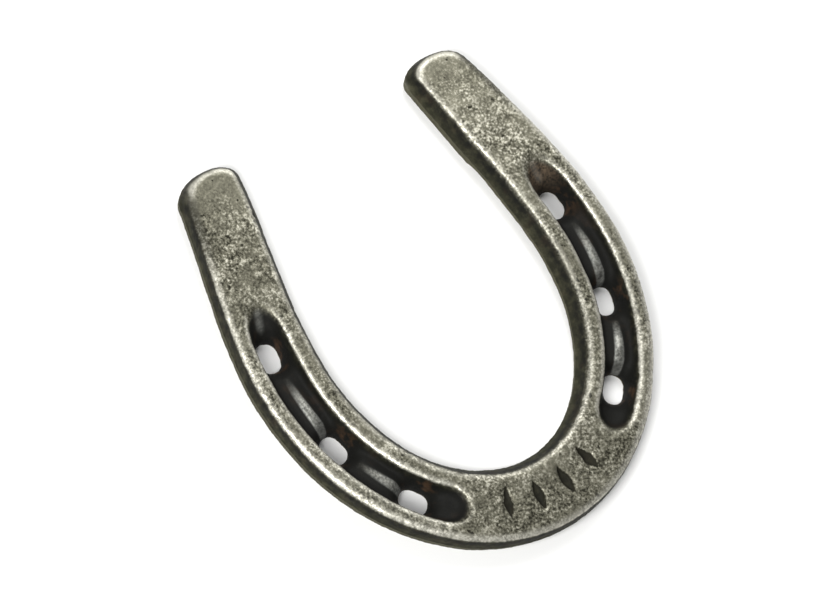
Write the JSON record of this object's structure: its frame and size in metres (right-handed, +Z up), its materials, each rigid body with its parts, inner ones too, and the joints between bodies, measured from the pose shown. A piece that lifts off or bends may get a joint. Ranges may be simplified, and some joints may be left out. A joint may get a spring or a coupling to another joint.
{
  "type": "horseshoe",
  "caption": "Small cast-iron horseshoe: a round-toed U with a grooved ground side, nail holes through each branch, and an inner relief on the flat hoof side.",
  "frame": {"origin": "middle of the bounding box on the flat hoof side, which lies on z = 0", "axes": "+Z up out of the grooved ground side, -Y towards the toe, +Y towards the heels, +X and -X towards the two branches"},
  "size_m": [0.079, 0.089, 0.0062],
  "materials": {
    "cast_iron": "raw sand-cast skin, rubbed bright on the rims and lightly oiled"
  },
  "bodies": {
    "root": {"shoe_casting": "cast_iron"}
  },
  "joints": []
}
